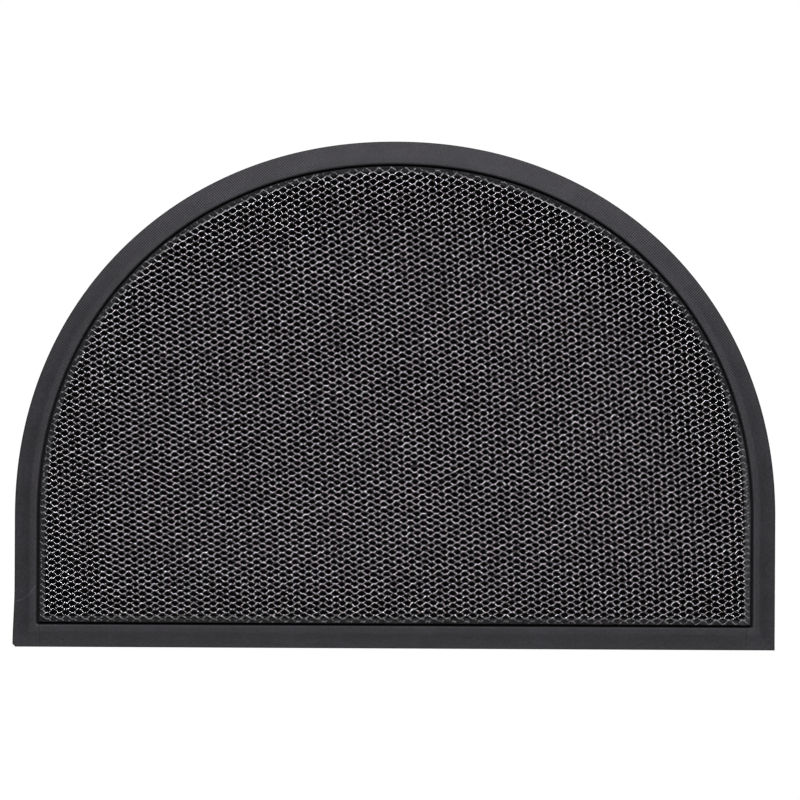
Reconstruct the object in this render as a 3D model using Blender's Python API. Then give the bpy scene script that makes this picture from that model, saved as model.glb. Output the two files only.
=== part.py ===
"""Half-round doormat: a rubber tray with a raised, sloping border, and a net pad laid in it.

Units are metres and +Z is up. The mat lies on z = 0 with its straight edge towards -Y, and the
origin is under the middle of its bounding box.
"""

import math

import bmesh
import bpy
from mathutils import Vector

# Outline of the whole mat
MAT_WIDTH = 0.750
MAT_DEPTH = 0.500
STRAIGHT_SIDE = 0.129  # from the straight edge up to where the arch begins
ARCH_EXPONENT = 2.08  # 2 is an ellipse, and a little more gives it fuller shoulders
ARCH_SEGMENTS = 96
TRIMMED_CORNER = 0.003  # the left corner of the straight edge is clipped by this much each way

# Rubber border, from its outer edge inwards
EDGE_HEIGHT = 0.0020
BORDER_WIDTH = 0.0225
BORDER_SECTION = (  # distance in from the outer edge, height above the ground
    (0.0003, 0.0025),
    (0.0009, 0.0028),
    (0.0050, 0.0035),
    (0.0095, 0.0046),
    (0.0146, 0.0063),
    (0.0158, 0.0066),
    (0.0200, 0.0070),
    (0.0212, 0.0070),
    (0.0220, 0.0066),
    (0.0240, 0.0055),  # inside the recess, which cuts the section short
)

# Recess for the pad
FLOOR_THICKNESS = 0.0020
RECESS_CORNER_RADIUS = 0.0025
CORNER_SEGMENTS = 5

# Net pad
PAD_SIDE_GAP = 0.0017
PAD_SEAT_GAP = 0.0003
PAD_CORNER_RADIUS = 0.0015
PRESSED_HEIGHT = 0.0026  # how thick the pad is along its pressed edge
PRESSED_WIDTH = 0.0050
NET_HEIGHT = 0.0045  # how thick the pad is inside its pressed edge
NET_SHOULDER = 0.0015  # how far inwards the slope up to that height runs
NET_CORNER_RADIUS = 0.0030
NET_SINK = 0.0006  # how far the full net reaches down into the pressed sheet that it joins

# Looks
RUBBER_COLOUR = (0.030, 0.030, 0.031)
RUBBER_ROUGHNESS = 0.60
NET_COLOUR = (0.020, 0.020, 0.021)
NET_ROUGHNESS = 0.25
SHARP_ANGLE = math.radians(30)

# Working values
CUTTER_MARGIN = 0.005  # how far a cutter reaches past what it cuts
MERGE_DISTANCE = 0.000001
FACING = 0.9  # a face whose normal has this much of Z in it is a slab's top or underside


def clear_scene():
    for old in list(bpy.data.objects):
        bpy.data.objects.remove(old)


def new_collection(name):
    collection = bpy.data.collections.new(name)
    bpy.context.scene.collection.children.link(collection)
    return collection


def make_material(name, colour, roughness):
    material = bpy.data.materials.new(name)
    material.use_nodes = True
    shader = material.node_tree.nodes["Principled BSDF"]
    shader.inputs["Base Color"].default_value = (*colour, 1.0)
    shader.inputs["Roughness"].default_value = roughness
    shader.inputs["Metallic"].default_value = 0.0
    material.diffuse_color = (*colour, 1.0)
    return material


def arch_point(angle, inward):
    """A point on the arch, moved inwards at right angles to the outer edge."""
    half_width = MAT_WIDTH / 2
    rise = MAT_DEPTH - STRAIGHT_SIDE
    across = math.copysign(abs(math.cos(angle)) ** (2 / ARCH_EXPONENT), math.cos(angle))
    up = abs(math.sin(angle)) ** (2 / ARCH_EXPONENT)
    outwards = Vector(
        (
            math.copysign(abs(across) ** (ARCH_EXPONENT - 1) / half_width, across),
            up ** (ARCH_EXPONENT - 1) / rise,
        )
    ).normalized()
    base = Vector((0.0, STRAIGHT_SIDE - MAT_DEPTH / 2))
    return base + Vector((half_width * across, rise * up)) - outwards * inward


def corner_points(side, inward, radius):
    """The corner at one end of the straight edge, as one point or as an arc, taken anticlockwise."""
    middle = Vector((side * (MAT_WIDTH / 2 - inward - radius), inward + radius - MAT_DEPTH / 2))
    if radius == 0.0:
        return [middle]
    start = math.pi if side < 0 else 1.5 * math.pi
    points = []
    for step in range(CORNER_SEGMENTS + 1):
        angle = start + 0.5 * math.pi * step / CORNER_SEGMENTS
        points.append(middle + radius * Vector((math.cos(angle), math.sin(angle))))
    return points


def mat_outline(inward=0.0, corner_radius=0.0):
    """The mat's outline, anticlockwise from the right foot of the arch, set in by some distance."""
    arch = [
        arch_point(math.pi * step / ARCH_SEGMENTS, inward) for step in range(ARCH_SEGMENTS + 1)
    ]
    left_corner = corner_points(-1, inward, corner_radius)
    right_corner = corner_points(1, inward, corner_radius)
    return arch + left_corner + right_corner


def make_slab(name, outline, bottom, thickness, collection):
    """A flat closed slab of this outline, with its underside at the height bottom."""
    curve = bpy.data.curves.new(name, "CURVE")
    curve.dimensions = "2D"
    curve.fill_mode = "BOTH"
    curve.extrude = thickness / 2
    spline = curve.splines.new("POLY")
    spline.points.add(len(outline) - 1)
    for point, (x, y) in zip(spline.points, outline):
        point.co = (x, y, 0.0, 1.0)
    spline.use_cyclic_u = True
    drawn = bpy.data.objects.new(name + "_outline", curve)
    collection.objects.link(drawn)

    graph = bpy.context.evaluated_depsgraph_get()
    mesh = bpy.data.meshes.new_from_object(drawn.evaluated_get(graph))
    mesh.name = name
    bpy.data.objects.remove(drawn)
    bpy.data.curves.remove(curve)

    shape = bmesh.new()
    shape.from_mesh(mesh)
    bmesh.ops.remove_doubles(shape, verts=shape.verts, dist=MERGE_DISTANCE)
    bmesh.ops.translate(shape, verts=shape.verts, vec=(0.0, 0.0, thickness / 2))
    for facing in (1, -1):
        cap = [face for face in shape.faces if face.normal.z * facing > FACING]
        bmesh.ops.dissolve_faces(shape, faces=cap)
    shape.to_mesh(mesh)
    shape.free()

    slab = bpy.data.objects.new(name, mesh)
    slab.location.z = bottom
    collection.objects.link(slab)
    return slab


def raise_top(slab, section):
    """Steps a slab's top inwards and up or down, through a section's (inward, height) points."""
    shape = bmesh.new()
    shape.from_mesh(slab.data)
    shape.faces.ensure_lookup_table()
    top = max(shape.faces, key=lambda face: face.calc_center_median().z)
    last_inward = 0.0
    last_height = top.calc_center_median().z
    for inward, height in section:
        bmesh.ops.inset_region(
            shape,
            faces=[top],
            use_boundary=True,
            use_even_offset=True,
            thickness=inward - last_inward,
            depth=height - last_height,
        )
        last_inward = inward
        last_height = height
    shape.to_mesh(slab.data)
    shape.free()


def combine(solid, helper, operation):
    """Cuts a helper's shape out of a solid, or joins it on, and hides the helper."""
    helper.hide_render = True
    helper.display_type = "WIRE"
    boolean = solid.modifiers.new(helper.name, "BOOLEAN")
    boolean.operation = operation
    boolean.solver = "EXACT"
    boolean.object = helper


def finish_surface(solid, material):
    solid.data.materials.append(material)
    solid.data.shade_smooth()
    solid.data.set_sharp_from_angle(angle=SHARP_ANGLE)


def make_corner_cutter(collection):
    """A square block turned by 45 degrees, whose near face clips the left corner."""
    size = 4 * TRIMMED_CORNER
    bpy.ops.mesh.primitive_cube_add(size=size)
    cutter = bpy.context.object
    cutter.name = "corner_cutter"
    cutter.rotation_euler.z = math.radians(45)
    corner = Vector((-MAT_WIDTH / 2, -MAT_DEPTH / 2, 0.0))
    outwards = Vector((-1.0, -1.0, 0.0)).normalized()
    clipped_depth = TRIMMED_CORNER / math.sqrt(2)
    cutter.location = corner + outwards * (size / 2 - clipped_depth)
    for holder in list(cutter.users_collection):
        holder.objects.unlink(cutter)
    collection.objects.link(cutter)
    return cutter


def make_rubber_tray(part, helpers):
    tray = make_slab("rubber_tray", mat_outline(), 0.0, EDGE_HEIGHT, part)
    raise_top(tray, BORDER_SECTION)
    recess_outline = mat_outline(BORDER_WIDTH, RECESS_CORNER_RADIUS)
    crown = max(height for _, height in BORDER_SECTION)
    recess_depth = crown + CUTTER_MARGIN - FLOOR_THICKNESS
    recess = make_slab("recess_cutter", recess_outline, FLOOR_THICKNESS, recess_depth, helpers)
    combine(tray, recess, "DIFFERENCE")
    combine(tray, make_corner_cutter(helpers), "DIFFERENCE")
    finish_surface(tray, make_material("black_rubber", RUBBER_COLOUR, RUBBER_ROUGHNESS))


def make_net_pad(part, helpers):
    """The pressed edge is a thin sheet under the whole pad, and the full net is joined on to it."""
    seat = FLOOR_THICKNESS + PAD_SEAT_GAP
    edge = BORDER_WIDTH + PAD_SIDE_GAP
    pad = make_slab("net_pad", mat_outline(edge, PAD_CORNER_RADIUS), seat, PRESSED_HEIGHT, part)
    net_outline = mat_outline(edge + PRESSED_WIDTH, NET_CORNER_RADIUS)
    net_foot = seat + PRESSED_HEIGHT - NET_SINK
    net = make_slab("full_net", net_outline, net_foot, NET_SINK, helpers)
    raise_top(net, ((NET_SHOULDER, NET_HEIGHT - PRESSED_HEIGHT + NET_SINK),))
    combine(pad, net, "UNION")
    finish_surface(pad, make_material("black_net", NET_COLOUR, NET_ROUGHNESS))


def main():
    clear_scene()
    part = new_collection("doormat")
    helpers = new_collection("cutters")
    make_rubber_tray(part, helpers)
    make_net_pad(part, helpers)


main()
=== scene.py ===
"""Half-round doormat: the looks of its rubber tray and of the net pad that lies in it.

Lengths are in metres, and angles in radians where nothing else is said. +Y runs from the straight
edge to the crown of the arch.
"""

import math

import bpy
import numpy as np
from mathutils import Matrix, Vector, noise


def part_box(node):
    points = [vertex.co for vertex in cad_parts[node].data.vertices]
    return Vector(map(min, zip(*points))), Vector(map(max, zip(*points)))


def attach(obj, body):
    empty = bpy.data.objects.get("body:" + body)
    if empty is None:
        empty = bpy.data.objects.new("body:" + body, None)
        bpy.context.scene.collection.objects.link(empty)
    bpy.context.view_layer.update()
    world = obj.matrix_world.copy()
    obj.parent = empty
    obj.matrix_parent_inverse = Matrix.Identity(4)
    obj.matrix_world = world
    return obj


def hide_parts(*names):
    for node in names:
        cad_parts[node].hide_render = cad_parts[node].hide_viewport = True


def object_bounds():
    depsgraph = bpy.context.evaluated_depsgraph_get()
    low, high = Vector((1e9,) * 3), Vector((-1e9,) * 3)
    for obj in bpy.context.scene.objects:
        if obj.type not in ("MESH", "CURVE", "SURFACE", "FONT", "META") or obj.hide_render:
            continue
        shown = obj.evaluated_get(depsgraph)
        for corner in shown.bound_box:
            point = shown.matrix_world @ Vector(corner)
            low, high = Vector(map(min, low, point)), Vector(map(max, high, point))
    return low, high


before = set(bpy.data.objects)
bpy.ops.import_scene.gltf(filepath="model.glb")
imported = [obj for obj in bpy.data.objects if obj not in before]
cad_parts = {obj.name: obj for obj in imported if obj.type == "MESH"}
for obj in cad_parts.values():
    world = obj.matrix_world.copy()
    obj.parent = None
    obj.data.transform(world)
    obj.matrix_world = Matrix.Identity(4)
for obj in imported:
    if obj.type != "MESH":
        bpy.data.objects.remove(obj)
cad_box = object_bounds()

# Outline of the mat, from the frame and the arch's own two values
LOW, HIGH = cad_box
HALF_WIDTH = (HIGH.x - LOW.x) / 2
BACK_Y = HIGH.y
FRONT_Y = LOW.y
STRAIGHT_SIDE = 0.129
ARCH_EXPONENT = 2.08
ARCH_Y = FRONT_Y + STRAIGHT_SIDE
ARCH_RISE = BACK_Y - ARCH_Y
TRIMMED_CORNER = 0.003
SHARP_CORNER = 0.0003
CORNER_STEPS = 6
TRAY_SPACING = 0.004  # between points along the outline
SPLAY = 0.0018  # how far the left end of the straight edge leans outwards
SPLAY_HEIGHT = 0.060
SPLAY_FROM = 0.8  # the share of the half width beyond which it leans

# Rubber border, from the ground up and inwards: distance in from the outer edge, height
BORDER_WIDTH = 0.0225
BORDER_SECTION = (
    (0.0003, 0.0000),
    (0.0000, 0.0003),
    (0.0000, 0.0020),
    (0.0003, 0.0025),
    (0.0009, 0.0028),
    (0.0050, 0.0035),
    (0.0095, 0.0046),
    (0.0146, 0.0063),
    (0.0158, 0.0066),
    (0.0200, 0.0070),
    (0.0212, 0.0070),
    (0.0220, 0.0066),
    (0.0225, 0.0059),
)
FLOOR_HEIGHT = 0.0020
RECESS_CORNER_RADIUS = 0.0025
RECESS_CORNER_FROM = 0.0185  # how far in from the edge the corners start to round
BORDER_ROUNDINGS = 2
TRAY_SHARP_ANGLE = math.radians(40)

# Net pad: a thin backing with a pressed edge, and strands on it
PAD_EDGE = BORDER_WIDTH + 0.0022
PAD_CORNER_RADIUS = 0.0015
SEAT_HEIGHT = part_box("net_pad")[0].z
PAD_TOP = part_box("net_pad")[1].z
BACKING_TOP = 0.0033
PRESSED_TOP = 0.0049
PRESSED_WIDTH = 0.0060
PRESSED_SLOPE = 0.0020
PRESSED_SINK = 0.0002  # how far the strands' middles lie below the pressed edge's top
PRESSED_WAVE = 0.3  # how much of a strand's rise and fall is left there
PRESSED_FLATNESS = 0.5  # how much of a strand's height is lost there
BACKING_SPACING = 0.0012
BACKING_INSETS = (0.0, 0.0004, 0.0010, 0.0018, 0.0026, 0.0034, 0.0042, 0.0050, 0.0058, 0.0070)
BACKING_UNDERCUT = 0.0002  # how much smaller its underside is
BACKING_EDGE_DROP = 0.0004
RUFFLE_SIZE = 0.0022
RUFFLE_HEIGHT = 0.00022
BACKING_SHARP_ANGLE = math.radians(60)

# Net: rows of clasps, in each of which an even strand's crown hooks over an odd strand's trough
COLUMN_PITCH = 0.01280
ROW_PITCH = 0.00639
ROW_RISE = math.radians(0.93)
COLUMN_LEAN = math.radians(3.15)
NET_ORIGIN = (-0.0038, -0.0028)
NET_REACH = (0.345, 0.227)  # across and down, where the net's strains below are counted
COLUMN_SPREAD = 0.0032
COLUMN_BOW = -0.0014
ROW_SPREAD = 0.0033
ROW_FAN = -0.0032
ROW_BOW = 0.0005
EVEN_STRAND = (  # along the row, up, how deep it dives: from the middle of a clasp to the next
    (-0.00067, 0.00072, 0.0),
    (0.00005, 0.00000, 0.0),
    (0.00070, -0.00068, 0.0),
    (0.00145, -0.00085, 0.4),
    (0.00220, -0.00120, 0.0),
    (0.00390, -0.00275, 0.0),
    (0.00545, -0.00405, 0.0),
    (0.00630, -0.00370, 0.0),
    (0.00710, -0.00320, 0.0),
    (0.00790, -0.00295, 0.4),
    (0.00870, -0.00260, 0.0),
    (0.01040, -0.00100, 0.0),
)
ODD_STRAND = (
    (0.00068, -0.00076, 0.0),
    (0.00175, 0.00010, 0.0),
    (0.00275, 0.00102, 0.1),
    (0.00380, 0.00165, 0.6),
    (0.00510, 0.00225, 1.0),
    (0.00620, 0.00275, 0.6),
    (0.00710, 0.00320, 0.0),
    (0.00820, 0.00230, 0.0),
    (0.00940, 0.00115, 0.1),
    (0.01040, 0.00055, 0.6),
    (0.01130, 0.00000, 1.0),
    (0.01240, -0.00035, 0.6),
)
EVEN_STEPS = (1, 1, 1, 1, 1, 2, 1, 1, 1, 1, 1, 1)  # how many steps each stretch is made in
ODD_STEPS = (1, 1, 1, 1, 1, 1, 1, 2, 1, 1, 1, 2)
STRAND_DIVE = 0.00100
STRAND_RADIUS = 0.00060
STRAND_HALF_WIDTH = 0.00058
SHOULDER_HEIGHT = 0.00020  # where a strand is widest, above its middle
FOOT_HALF_WIDTH = 0.00040
FOOT_DEPTH = 0.00050
SECTION = (  # across a strand: sideways, up
    (0.0, STRAND_RADIUS),
    (STRAND_HALF_WIDTH, SHOULDER_HEIGHT),
    (FOOT_HALF_WIDTH, -FOOT_DEPTH),
    (-FOOT_HALF_WIDTH, -FOOT_DEPTH),
    (-STRAND_HALF_WIDTH, SHOULDER_HEIGHT),
)
SIDES = len(SECTION)
PLACE_SPREAD = 0.000008  # how far a point of a strand strays, as a standard deviation
SHORTEST_RUN = 3  # a cut strand with this many points or fewer is left out
SPARE_COLUMNS = 2  # laid past each side of the mat
SPARE_ROWS = 5
PIECE_TRIANGLES = 165000
SEED = 7

# Looks; a speckle is its grain size and the lowest and highest value it gives
RUBBER_COLOUR = (0.0142, 0.0140, 0.0151)
RUBBER_ROUGHNESS = 0.44
RUBBER_IOR = 1.45
RUBBER_GLOSS = 0.15
RUBBER_TONES = ((0.030, 0.90, 1.10), (0.0030, 0.82, 1.18), (0.0012, 0.85, 1.15))
RUBBER_CLOUDS = (0.018, -0.04, 0.04)
RUBBER_GRAIN = (0.0016, -0.05, 0.05)
RECESS_SHADE_CHANGE = -0.92  # painted shade: how much darker the rubber is at the foot of the recess
GROOVE_DULLNESS = 0.5
HATCH_PITCH = 0.0020
HATCH_DEPTH = 0.00007
SEAMS = (-0.3495, 0.3467)  # where the front border's butt seams lie across the mat
SEAM_HALF_WIDTH = 0.0004
SEAM_CHANGE = -0.35
CORNER_CHANGE = 0.10  # in the corner beyond a seam
MASK_SOFTNESS = 0.0005
SCRATCH_CENTRE = (-0.3796, -0.1774, 0.0045)
SCRATCH_RADIUS = 0.0283
SCRATCH_HALF_WIDTH = 0.0003
SCRATCH_BELOW = 0.1897  # only this far towards the straight edge does it show
SCRATCH_CHANGE = 0.9
STRAND_COLOUR = (0.0010, 0.0010, 0.0010)
STRAND_ROUGHNESS = 0.15
STRAND_IOR = 1.77
STRAND_GLOSS = 1.0
STRAND_TONE = (0.004, 0.7, 1.3)
STRAND_UNEVENNESS = (0.006, -0.025, 0.025)
PRESSED_DULLNESS = 0.70
BACKING_COLOUR = (0.0020, 0.0020, 0.0020)
BACKING_ROUGHNESS = 0.9
BACKING_TONE = (0.003, 0.6, 1.4)
BACKING_FIBRES = (0.0014, 0.5, 1.5)
EDGE_WEAR = 2.5  # how much brighter the pressed edge is
RIGHT_EDGE_WEAR = 6.0
RIGHT_BAND_FROM = 0.3400
FLOOR_SIZE = 40.0
FLOOR_DROP = 0.0002  # keeps the floor clear of the mat's underside
FLOOR_GREY = 0.85
FLOOR_ROUGHNESS = 0.9
FLOOR_GLOW = 1.0

# Light: azimuth from +Y towards +X and lean from straight up, both in degrees, size, radiance
LIGHT_DISTANCE = 5.0
NET_LIGHTS = (
    ("net_left_light", -35.0, 50.0, (2.50, 1.00), 73.0),
    ("net_right_light", 35.0, 50.0, (2.50, 1.00), 73.0),
    ("net_front_light", 180.0, 50.0, (4.50, 1.00), 8.0),
)
BORDER_LIGHTS = (
    ("border_back_light", 4.0, 35.0, (1.40, 2.20), 50.0),
    ("border_front_light", 180.0, 30.0, (3.00, 2.20), 8.0),
)
WORLD_STRENGTH = 0.015
LIGHT_COLOUR = (1.0, 0.968, 1.030)

# Camera, from where the mat lies in the photograph
IMAGE_SIDE = 800
PIXEL = 0.0009860
MAT_MIDDLE_PIXEL = (395.7, 395.1)
MAT_TURN = math.radians(0.294)
LENS = 170.0
SENSOR = 36.0
SCALE_HEIGHT = 0.002  # the height at which the size of a pixel is given
VIEW_END = 100.0


def smoothstep(low, high, value):
    share = np.clip((value - low) / (high - low), 0.0, 1.0)
    return share * share * (3.0 - 2.0 * share)


def arch_points(inward, steps):
    """Points along the arch from right to left, moved inwards at right angles to the edge."""
    angle = np.linspace(0.0, math.pi, steps + 1)
    across = np.sign(np.cos(angle)) * np.abs(np.cos(angle)) ** (2 / ARCH_EXPONENT)
    up = np.abs(np.sin(angle)) ** (2 / ARCH_EXPONENT)
    out_x = np.sign(across) * np.abs(across) ** (ARCH_EXPONENT - 1) / HALF_WIDTH
    out_y = up ** (ARCH_EXPONENT - 1) / ARCH_RISE
    length = np.hypot(out_x, out_y)
    x = HALF_WIDTH * across - inward * out_x / length
    y = ARCH_Y + ARCH_RISE * up - inward * out_y / length
    return np.column_stack((x, y))


def straight_points(start, end, steps):
    """Points from start up to but without end."""
    share = np.arange(steps)[:, None] / steps
    return start + (end - start) * share


def corner_points(side, inward, size, rounded):
    """A corner of the straight edge, anticlockwise, as an arc or as a straight cut."""
    corner = np.array((side * (HALF_WIDTH - inward), FRONT_Y + inward))
    turn = np.linspace(0.0, 0.5 * math.pi, CORNER_STEPS + 1)
    if rounded:
        along, up = 1.0 - np.sin(turn), 1.0 - np.cos(turn)
    else:
        share = np.linspace(0.0, 1.0, CORNER_STEPS + 1)
        along, up = 1.0 - share, share
    points = np.column_stack((-side * size * along, size * up)) + corner
    return points if side > 0 else points[::-1]


def ring(inward, corner_radius=SHARP_CORNER, trimmed=0.0, spacing=TRAY_SPACING):
    """The mat's outline set in by some distance, anticlockwise from the right foot of the arch."""
    arch_steps = round(math.pi * HALF_WIDTH / spacing)
    side_steps = round(STRAIGHT_SIDE / spacing)
    front_steps = round(2 * HALF_WIDTH / spacing)
    arch = arch_points(inward, arch_steps)
    left_cut = trimmed - 2 * inward
    if left_cut > corner_radius:
        left = corner_points(-1, inward, left_cut, rounded=False)
    else:
        left = corner_points(-1, inward, corner_radius, rounded=True)
    right = corner_points(1, inward, corner_radius, rounded=True)
    left_side = straight_points(arch[-1], left[0], side_steps)[1:]
    front = straight_points(left[-1], right[0], front_steps)[1:]
    right_side = straight_points(right[-1], arch[0], side_steps)[1:]
    outline = np.vstack((arch, left_side, left, front, right, right_side))
    low = 1.0 - smoothstep(0.0, SPLAY_HEIGHT, outline[:, 1] - FRONT_Y)
    far_left = smoothstep(SPLAY_FROM, 1.0, -outline[:, 0] / HALF_WIDTH)
    outline[:, 0] -= SPLAY * low * far_left * max(1.0 - inward / BORDER_WIDTH, 0.0)
    return outline


def inward_distance(x, y):
    """How far inside the mat's outer edge a point lies."""
    height = np.maximum(y - ARCH_Y, 0.0) / ARCH_RISE
    width = np.abs(x) / HALF_WIDTH
    reach = (width**ARCH_EXPONENT + height**ARCH_EXPONENT) ** (1 / ARCH_EXPONENT)
    reach = np.maximum(reach, 1e-6)
    slope_x = (width / reach) ** (ARCH_EXPONENT - 1) / HALF_WIDTH
    slope_y = (height / reach) ** (ARCH_EXPONENT - 1) / ARCH_RISE
    from_arch = (1.0 - reach) / np.hypot(slope_x, slope_y)
    from_side = HALF_WIDTH - np.abs(x)
    from_front = y - FRONT_Y
    return np.minimum(np.where(y > ARCH_Y, from_arch, from_side), from_front)


def round_off(section, times):
    """Cuts the corners of a line of points again and again, which rounds it."""
    points = np.array(section)
    for _ in range(times):
        near = 0.75 * points[:-1] + 0.25 * points[1:]
        far = 0.25 * points[:-1] + 0.75 * points[1:]
        between = np.empty((2 * len(near), points.shape[1]))
        between[0::2] = near
        between[1::2] = far
        points = np.vstack((points[:1], between, points[-1:]))
    return points


def new_mesh_object(name, points, corners, corner_counts):
    """An object from its points and its faces' corners, given one after another."""
    mesh = bpy.data.meshes.new(name)
    mesh.vertices.add(len(points))
    mesh.vertices.foreach_set("co", np.asarray(points, np.float32).ravel())
    mesh.loops.add(len(corners))
    mesh.loops.foreach_set("vertex_index", np.asarray(corners, np.int32))
    starts = np.concatenate(([0], np.cumsum(corner_counts)[:-1]))
    mesh.polygons.add(len(corner_counts))
    mesh.polygons.foreach_set("loop_start", starts.astype(np.int32))
    mesh.update(calc_edges=True)
    mesh.validate()
    mesh.shade_smooth()
    piece = bpy.data.objects.new(name, mesh)
    bpy.context.scene.collection.objects.link(piece)
    return piece


def band_faces(ring_count, ring_size):
    """Four-sided faces between each ring of points and the next."""
    start = np.arange(ring_count - 1)[:, None] * ring_size
    here = np.arange(ring_size)[None, :]
    after = (here + 1) % ring_size
    faces = np.stack(
        (start + here, start + after, start + ring_size + after, start + ring_size + here), axis=2
    )
    return faces.reshape(-1, 4)


def closed_from_rings(name, rings):
    """A closed body lofted through rings of equal size, the first and the last one capped."""
    size = len(rings[0])
    sides = band_faces(len(rings), size)
    first_cap = np.arange(size)[::-1]
    last_cap = np.arange(size) + (len(rings) - 1) * size
    corners = np.concatenate((sides.ravel(), first_cap, last_cap))
    counts = np.concatenate((np.full(len(sides), 4), (size, size)))
    return new_mesh_object(name, np.vstack(rings), corners, counts)


def at_height(outline, height):
    return np.column_stack((outline, np.full(len(outline), height)))


def make_rubber_tray():
    rings = []
    for inward, height in round_off(BORDER_SECTION, BORDER_ROUNDINGS):
        rounding = smoothstep(RECESS_CORNER_FROM, BORDER_WIDTH, inward)
        radius = SHARP_CORNER + (RECESS_CORNER_RADIUS - SHARP_CORNER) * rounding
        rings.append(at_height(ring(inward, radius, TRIMMED_CORNER), height))
    rings.append(at_height(ring(BORDER_WIDTH, RECESS_CORNER_RADIUS), FLOOR_HEIGHT))
    tray = closed_from_rings("rubber_tray_fine", rings)
    tray.data.set_sharp_from_angle(angle=TRAY_SHARP_ANGLE)
    # the foot of the recess is marked, so the rubber can be painted darker there as shade
    shade_at_foot = np.zeros(sum(len(outline) for outline in rings))
    shade_at_foot[-len(rings[-1]) :] = 1.0
    add_attribute(tray, "recess_shade", shade_at_foot)
    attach(tray, "root")
    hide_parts("rubber_tray")
    return tray


def pressed_share(x, y):
    """1 in the pressed edge of the pad and 0 inside it, with a soft slope between."""
    inside = inward_distance(x, y) - PAD_EDGE
    slope_from = PRESSED_WIDTH - PRESSED_SLOPE / 2
    return 1.0 - smoothstep(slope_from, slope_from + PRESSED_SLOPE, inside)


def make_backing():
    """The thin sheet under the net, whose pressed edge is thicker and uneven."""
    underside = ring(PAD_EDGE + BACKING_UNDERCUT, PAD_CORNER_RADIUS, spacing=BACKING_SPACING)
    rings = [at_height(underside, SEAT_HEIGHT)]
    for inset in BACKING_INSETS:
        outline = ring(PAD_EDGE + inset, PAD_CORNER_RADIUS + inset, spacing=BACKING_SPACING)
        pressed = pressed_share(outline[:, 0], outline[:, 1])
        height = BACKING_TOP + (PRESSED_TOP - BACKING_TOP) * pressed
        ruffle = [noise.noise(Vector((x, y, 0.0)) / RUFFLE_SIZE) for x, y in outline]
        height += RUFFLE_HEIGHT * np.array(ruffle) * pressed
        if inset == 0.0:
            height = height - BACKING_EDGE_DROP
        rings.append(np.column_stack((outline, height)))
    backing = closed_from_rings("pad_backing", rings)
    backing.data.set_sharp_from_angle(angle=BACKING_SHARP_ANGLE)
    add_pressed_attribute(backing)
    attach(backing, "root")
    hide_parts("net_pad")
    return backing


def add_attribute(piece, name, values):
    attribute = piece.data.attributes.new(name, "FLOAT", "POINT")
    attribute.data.foreach_set("value", values.astype(np.float32))


def add_pressed_attribute(piece):
    points = np.empty(3 * len(piece.data.vertices), np.float32)
    piece.data.vertices.foreach_get("co", points)
    points = points.reshape(-1, 3)
    add_attribute(piece, "pressed", pressed_share(points[:, 0], points[:, 1]))


def net_place(column, row):
    """Where the net's columns and rows lie on the mat, a little strained as in the photograph."""
    x = column * COLUMN_PITCH * math.cos(ROW_RISE) + row * ROW_PITCH * math.sin(COLUMN_LEAN)
    y = column * COLUMN_PITCH * math.sin(ROW_RISE) - row * ROW_PITCH * math.cos(COLUMN_LEAN)
    side = x / NET_REACH[0]
    down = -y / NET_REACH[1]
    x = x + NET_ORIGIN[0] + COLUMN_SPREAD * side**2 + COLUMN_BOW * down**2
    y = y + NET_ORIGIN[1] + ROW_SPREAD * down**2 + ROW_FAN * side * down + ROW_BOW * side**2
    return x, y


def bend_through(points, steps):
    """A smooth line through points, with a number of steps from each point to the next."""
    chord = np.diff(points, axis=0)
    length = np.linalg.norm(chord, axis=1)[:, None]
    way = chord / length
    tangent = np.vstack((way[:1], way[:-1] + way[1:], way[-1:]))
    tangent /= np.linalg.norm(tangent, axis=1)[:, None]
    stretch = np.repeat(np.arange(len(steps)), steps)
    share = np.concatenate([np.arange(count) / count for count in steps])[:, None]
    reach = length[stretch]
    start = (2 * share**3 - 3 * share**2 + 1) * points[stretch]
    start += (share**3 - 2 * share**2 + share) * reach * tangent[stretch]
    end = (3 * share**2 - 2 * share**3) * points[stretch + 1]
    end += (share**3 - share**2) * reach * tangent[stretch + 1]
    return start + end


def strand_line(shape, steps, row, first_column, column_count, draw):
    """The middle line of one strand of the net, its height counted from the top of its path."""
    shape = np.array(shape)
    columns = np.repeat(np.arange(first_column, first_column + column_count), len(shape))
    repeated = np.tile(shape, (column_count, 1))
    repeated[:, 0] += columns * COLUMN_PITCH
    repeated[:, 2] *= -STRAND_DIVE
    repeated += draw.normal(0.0, PLACE_SPREAD, repeated.shape)
    line = bend_through(repeated, np.tile(steps, column_count)[:-1])
    x, y = net_place(line[:, 0] / COLUMN_PITCH, row - line[:, 1] / ROW_PITCH)
    return x, y, line[:, 2]


def inside_runs(inside):
    """Where each unbroken run of True starts, and the place after its end."""
    edges = np.flatnonzero(np.diff(np.concatenate(([0], inside.astype(int), [0]))))
    runs = zip(edges[0::2], edges[1::2])
    return [(start, end) for start, end in runs if end - start > SHORTEST_RUN]


def tube(line, flatness):
    """Rings of points round a line, lower than they are wide where flatness is above 0."""
    tangent = np.gradient(line, axis=0)
    tangent /= np.linalg.norm(tangent, axis=1)[:, None]
    side = np.cross(tangent, (0.0, 0.0, 1.0))
    side /= np.linalg.norm(side, axis=1)[:, None]
    over = np.cross(side, tangent)
    sideways, up = np.array(SECTION).T
    wide = sideways[None, :, None] * side[:, None, :]
    high = up[None, :, None] * over[:, None, :] * (1.0 - flatness)[:, None, None]
    return line[:, None, :] + wide + high


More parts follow.
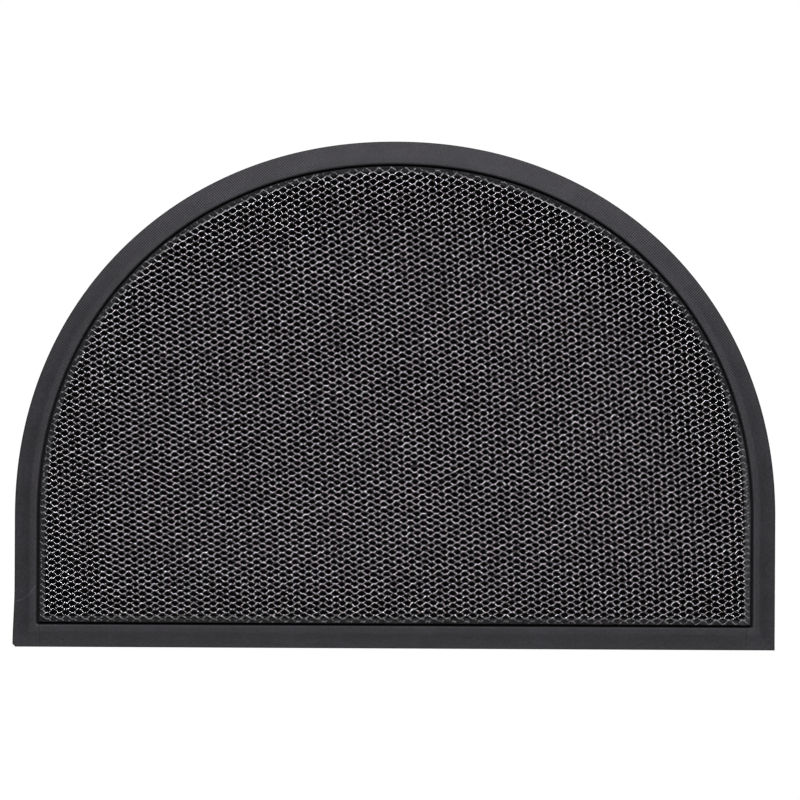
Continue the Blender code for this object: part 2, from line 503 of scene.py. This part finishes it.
def tube_faces(count, first):
    """The faces of one tube of count rings, whose points start at first: corners, then counts."""
    start = first + np.arange(count - 1)[:, None] * SIDES
    here = np.arange(SIDES)[None, :]
    after = (here + 1) % SIDES
    beyond = start + SIDES
    quads = np.stack((start + here, beyond + here, beyond + after, start + after), axis=2)
    start_cap = first + np.arange(SIDES)
    end_cap = first + (count - 1) * SIDES + np.arange(SIDES)[::-1]
    corners = np.concatenate((quads.ravel(), start_cap, end_cap))
    counts = np.concatenate((np.full((count - 1) * SIDES, 4), (SIDES, SIDES)))
    return corners, counts


def make_net_tubes():
    """Every strand of the net as a tube cut off at the pad's edge."""
    draw = np.random.RandomState(SEED)
    column_reach = math.ceil(HALF_WIDTH / COLUMN_PITCH) + SPARE_COLUMNS
    row_reach = math.ceil(BACK_Y / ROW_PITCH) + SPARE_ROWS
    middle = PAD_TOP - STRAND_RADIUS
    tubes = []
    for row in range(-row_reach, row_reach):
        for shape, steps in ((ODD_STRAND, ODD_STEPS), (EVEN_STRAND, EVEN_STEPS)):
            x, y, lift = strand_line(shape, steps, row, -column_reach, 2 * column_reach, draw)
            depth = inward_distance(x, y) - PAD_EDGE
            pressed = pressed_share(x, y)
            flattened = PRESSED_TOP - PRESSED_SINK + PRESSED_WAVE * lift
            z = (middle + lift) * (1.0 - pressed) + flattened * pressed
            line = np.column_stack((x, y, z))
            for first, last in inside_runs(depth > STRAND_RADIUS):
                run = slice(first, last)
                tubes.append(tube(line[run], PRESSED_FLATNESS * pressed[run]))
    return tubes


def make_net_pieces():
    """The net in pieces that each stay below a number of triangles."""
    pieces = []
    waiting = []
    waiting_triangles = 0
    tubes = make_net_tubes()
    for place, points in enumerate(tubes):
        waiting.append(points)
        waiting_triangles += 2 * SIDES * len(points)
        if waiting_triangles > PIECE_TRIANGLES or place == len(tubes) - 1:
            pieces.append(make_net_piece(len(pieces) + 1, waiting))
            waiting = []
            waiting_triangles = 0
    return pieces


def make_net_piece(number, tubes):
    corners = []
    counts = []
    first = 0
    for points in tubes:
        tube_corners, tube_counts = tube_faces(len(points), first)
        corners.append(tube_corners)
        counts.append(tube_counts)
        first += len(points) * SIDES
    points = np.concatenate([points.reshape(-1, 3) for points in tubes])
    name = f"net_strands_{number}"
    piece = new_mesh_object(name, points, np.concatenate(corners), np.concatenate(counts))
    add_pressed_attribute(piece)
    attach(piece, "root")
    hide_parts("net_pad")
    return piece


def make_material(name, colour, roughness, **inputs):
    """A material whose shader's sockets are set by name, with underscores for the spaces."""
    material = bpy.data.materials.new(name)
    material.use_nodes = True
    shader = material.node_tree.nodes["Principled BSDF"]
    shader.inputs["Base Color"].default_value = (*colour, 1.0)
    shader.inputs["Roughness"].default_value = roughness
    for socket, value in inputs.items():
        shader.inputs[socket.replace("_", " ")].default_value = value
    return material


def plug(material, socket, value):
    """Gives a node's socket a plain value, or links another node's output to it."""
    if isinstance(value, bpy.types.NodeSocket):
        material.node_tree.links.new(value, socket)
    else:
        socket.default_value = value


def place_on_mat(material):
    return material.node_tree.nodes.new("ShaderNodeTexCoord").outputs["Object"]


def calculate(material, operation, first, second=0.0):
    node = material.node_tree.nodes.new("ShaderNodeMath")
    node.operation = operation
    plug(material, node.inputs[0], first)
    plug(material, node.inputs[1], second)
    return node.outputs[0]


def part_of_place(material, axis):
    """One coordinate of the place on the mat."""
    node = material.node_tree.nodes.new("ShaderNodeSeparateXYZ")
    plug(material, node.inputs[0], place_on_mat(material))
    return node.outputs[axis]


def remap(material, value, old_low, old_high, new_low, new_high, smooth=False):
    """Maps a value from one range to another and holds it inside the new one."""
    node = material.node_tree.nodes.new("ShaderNodeMapRange")
    node.interpolation_type = "SMOOTHSTEP" if smooth else "LINEAR"
    for socket, given in zip(node.inputs[:5], (value, old_low, old_high, new_low, new_high)):
        plug(material, socket, given)
    return node.outputs[0]


def speckle(material, size, low, high, detail=2.0):
    """A random pattern of this grain size that runs from low to high."""
    node = material.node_tree.nodes.new("ShaderNodeTexNoise")
    plug(material, node.inputs["Vector"], place_on_mat(material))
    node.inputs["Scale"].default_value = 1.0 / size
    node.inputs["Detail"].default_value = detail
    return remap(material, node.outputs["Fac"], 0.3, 0.7, low, high)


def near_line(material, coordinate, place, half_width):
    """1 close to a line across one coordinate, fading to 0 beside it."""
    distance = calculate(material, "ABSOLUTE", calculate(material, "SUBTRACT", coordinate, place))
    return remap(material, distance, half_width, 2 * half_width, 1.0, 0.0)


def above(material, value, limit, softness):
    return remap(material, value, limit - softness, limit + softness, 0.0, 1.0, smooth=True)


def multiply_all(material, values):
    product = values[0]
    for value in values[1:]:
        product = calculate(material, "MULTIPLY", product, value)
    return product


def change_inside(material, mask, amount):
    """A factor of 1 outside a mask and 1 + amount inside it."""
    return calculate(material, "ADD", calculate(material, "MULTIPLY", mask, amount), 1.0)


def tint(material, brightness, colour):
    """A colour whose brightness follows a value."""
    node = material.node_tree.nodes.new("ShaderNodeVectorMath")
    node.operation = "SCALE"
    node.inputs[0].default_value = colour
    plug(material, node.inputs["Scale"], brightness)
    return node.outputs[0]


def add_bump(material, height, distance, strength=1.0):
    node = material.node_tree.nodes.new("ShaderNodeBump")
    node.inputs["Distance"].default_value = distance
    node.inputs["Strength"].default_value = strength
    plug(material, node.inputs["Height"], height)
    plug(material, material.node_tree.nodes["Principled BSDF"].inputs["Normal"], node.outputs[0])


def attribute_share(material, name):
    """The value from 0 to 1 that a mesh holds at each of its points under this name."""
    node = material.node_tree.nodes.new("ShaderNodeAttribute")
    node.attribute_name = name
    return node.outputs["Fac"]


def hatch(material):
    """Fine ridges both ways at 45 degrees, as moulded into the rubber."""
    across = part_of_place(material, 0)
    up = part_of_place(material, 1)
    waves = []
    for operation in ("ADD", "SUBTRACT"):
        diagonal = calculate(material, operation, across, up)
        turn = calculate(material, "MULTIPLY", diagonal, 2 * math.pi / (HATCH_PITCH * math.sqrt(2)))
        waves.append(calculate(material, "SINE", turn))
    return calculate(material, "ADD", waves[0], waves[1])


def scratch(material):
    """A thin curved mark on the left border, part of a circle."""
    node = material.node_tree.nodes.new("ShaderNodeVectorMath")
    node.operation = "DISTANCE"
    plug(material, node.inputs[0], place_on_mat(material))
    node.inputs[1].default_value = SCRATCH_CENTRE
    band = near_line(material, node.outputs["Value"], SCRATCH_RADIUS, SCRATCH_HALF_WIDTH)
    down = calculate(material, "MULTIPLY", part_of_place(material, 1), -1.0)
    low = above(material, down, SCRATCH_BELOW, 2 * MASK_SOFTNESS)
    return multiply_all(material, [band, low])


def rubber_material():
    """Matt black rubber with a fine hatch, cloudy wear, two butt seams, a scratch, and painted
    shade at the foot of the recess.
    """
    gloss = {"IOR": RUBBER_IOR, "Specular_IOR_Level": RUBBER_GLOSS}
    material = make_material("hatched_rubber", RUBBER_COLOUR, RUBBER_ROUGHNESS, **gloss)
    shader = material.node_tree.nodes["Principled BSDF"]
    across = part_of_place(material, 0)
    up = part_of_place(material, 1)
    down = calculate(material, "MULTIPLY", up, -1.0)
    front = above(material, down, -FRONT_Y - BORDER_WIDTH, MASK_SOFTNESS)
    factors = [speckle(material, *tone) for tone in RUBBER_TONES]
    for seam in SEAMS:
        line = near_line(material, across, seam, SEAM_HALF_WIDTH)
        factors.append(change_inside(material, multiply_all(material, [line, front]), SEAM_CHANGE))
        outwards = calculate(material, "MULTIPLY", across, math.copysign(1.0, seam))
        beyond = above(material, outwards, abs(seam), MASK_SOFTNESS)
        corner = multiply_all(material, [beyond, front])
        factors.append(change_inside(material, corner, CORNER_CHANGE))
    factors.append(change_inside(material, scratch(material), SCRATCH_CHANGE))
    # painted shade: the rubber is darker at the foot of the recess, and rougher there too
    recess_shade = attribute_share(material, "recess_shade")
    factors.append(change_inside(material, recess_shade, RECESS_SHADE_CHANGE))
    brightness = multiply_all(material, factors)
    plug(material, shader.inputs["Base Color"], tint(material, brightness, RUBBER_COLOUR))
    clouds = speckle(material, *RUBBER_CLOUDS, detail=4.0)
    grain = speckle(material, *RUBBER_GRAIN)
    dulled = calculate(material, "MULTIPLY", recess_shade, GROOVE_DULLNESS)
    uneven = calculate(material, "ADD", calculate(material, "ADD", clouds, grain), dulled)
    roughness = calculate(material, "ADD", uneven, RUBBER_ROUGHNESS)
    plug(material, shader.inputs["Roughness"], roughness)
    add_bump(material, hatch(material), HATCH_DEPTH)
    return material


def strand_material():
    """Glossy black plastic, a little uneven, and duller where it is pressed flat."""
    gloss = {"IOR": STRAND_IOR, "Specular_IOR_Level": STRAND_GLOSS}
    material = make_material("net_strand", STRAND_COLOUR, STRAND_ROUGHNESS, **gloss)
    shader = material.node_tree.nodes["Principled BSDF"]
    tone = speckle(material, *STRAND_TONE)
    plug(material, shader.inputs["Base Color"], tint(material, tone, STRAND_COLOUR))
    uneven = speckle(material, *STRAND_UNEVENNESS)
    dulled = calculate(material, "MULTIPLY", attribute_share(material, "pressed"), PRESSED_DULLNESS)
    change = calculate(material, "ADD", uneven, dulled)
    roughness = calculate(material, "ADD", change, STRAND_ROUGHNESS)
    plug(material, shader.inputs["Roughness"], roughness)
    return material


def backing_material():
    """The matt sheet under the net, with a worn, lighter pressed edge."""
    gloss = {"Specular_IOR_Level": 0.0}
    material = make_material("pad_backing", BACKING_COLOUR, BACKING_ROUGHNESS, **gloss)
    shader = material.node_tree.nodes["Principled BSDF"]
    tone = speckle(material, *BACKING_TONE)
    right = above(material, part_of_place(material, 0), RIGHT_BAND_FROM, 2 * MASK_SOFTNESS)
    wear = remap(material, right, 0.0, 1.0, EDGE_WEAR, RIGHT_EDGE_WEAR)
    worn = multiply_all(material, [attribute_share(material, "pressed"), wear])
    lighter = change_inside(material, worn, 1.0)
    fibres = speckle(material, *BACKING_FIBRES)
    brightness = multiply_all(material, [tone, lighter, fibres])
    plug(material, shader.inputs["Base Color"], tint(material, brightness, BACKING_COLOUR))
    return material


def make_floor():
    """A pale floor that glows, so that it stays white all round."""
    bpy.ops.mesh.primitive_plane_add(size=FLOOR_SIZE, location=(0.0, 0.0, -FLOOR_DROP))
    floor = bpy.context.object
    floor.name = "floor"
    material = make_material("pale_floor", (FLOOR_GREY, FLOOR_GREY, FLOOR_GREY), FLOOR_ROUGHNESS)
    shader = material.node_tree.nodes["Principled BSDF"]
    shader.inputs["Emission Color"].default_value = (1.0, 1.0, 1.0, 1.0)
    shader.inputs["Emission Strength"].default_value = FLOOR_GLOW
    floor.data.materials.append(material)


def make_camera():
    """A camera straight above, placed so that the mat lies in the frame as in the photograph."""
    camera_data = bpy.data.cameras.new("camera")
    camera_data.lens = LENS
    camera_data.sensor_width = SENSOR
    camera_data.clip_end = VIEW_END
    camera = bpy.data.objects.new("camera", camera_data)
    bpy.context.scene.collection.objects.link(camera)
    distance = IMAGE_SIDE * PIXEL * LENS / SENSOR
    offset = Vector((IMAGE_SIDE / 2 - MAT_MIDDLE_PIXEL[0], MAT_MIDDLE_PIXEL[1] - IMAGE_SIDE / 2))
    camera.location = (offset.x * PIXEL, offset.y * PIXEL, SCALE_HEIGHT + distance)
    camera.rotation_euler = (0.0, 0.0, MAT_TURN)
    bpy.context.scene.camera = camera


def add_softbox(name, place, size, radiance, lit):
    """A rectangular soft light that faces the middle of the mat and lights only some pieces."""
    light_data = bpy.data.lights.new(name, "AREA")
    light_data.shape = "RECTANGLE"
    light_data.color = LIGHT_COLOUR
    light_data.size = size[0]
    light_data.size_y = size[1]
    light_data.energy = radiance * math.pi * size[0] * size[1]
    light = bpy.data.objects.new(name, light_data)
    light.location = place
    light.rotation_euler = (-Vector(place)).to_track_quat("-Z", "Y").to_euler()
    light.visible_camera = False
    light.light_linking.receiver_collection = lit
    bpy.context.scene.collection.objects.link(light)


def light_place(azimuth, lean, distance):
    """A place in the air: azimuth from +Y towards +X, lean from straight up, both in degrees."""
    turn = math.radians(azimuth)
    tilt = math.radians(lean)
    return (
        distance * math.sin(turn) * math.sin(tilt),
        distance * math.cos(turn) * math.sin(tilt),
        distance * math.cos(tilt),
    )


def add_lights(lights, pieces, name):
    """Soft lights for some of the pieces, since border and net each need their own."""
    lit = bpy.data.collections.new(name)
    for piece in pieces:
        lit.objects.link(piece)
    for light_name, azimuth, lean, size, radiance in lights:
        place = light_place(azimuth, lean, LIGHT_DISTANCE)
        add_softbox(light_name, place, size, radiance, lit)


def make_world():
    """White where the camera sees it, and almost dark as a light."""
    world = bpy.data.worlds.new("studio")
    world.use_nodes = True
    nodes = world.node_tree.nodes
    nodes["Background"].inputs["Color"].default_value = (1.0, 1.0, 1.0, 1.0)
    seen = nodes.new("ShaderNodeLightPath").outputs["Is Camera Ray"]
    strength = nodes.new("ShaderNodeMapRange")
    strength.inputs["To Min"].default_value = WORLD_STRENGTH
    world.node_tree.links.new(seen, strength.inputs["Value"])
    world.node_tree.links.new(strength.outputs["Result"], nodes["Background"].inputs["Strength"])
    bpy.context.scene.world = world
    bpy.context.scene.view_settings.view_transform = "Standard"


def main():
    make_camera()
    make_world()
    make_floor()
    tray = make_rubber_tray()
    tray.data.materials.append(rubber_material())
    backing = make_backing()
    backing.data.materials.append(backing_material())
    strands = make_net_pieces()
    shared = strand_material()
    for piece in strands:
        piece.data.materials.append(shared)
    add_lights(BORDER_LIGHTS, [tray], "lit_border")
    add_lights(NET_LIGHTS, [backing, *strands], "lit_net")


main()
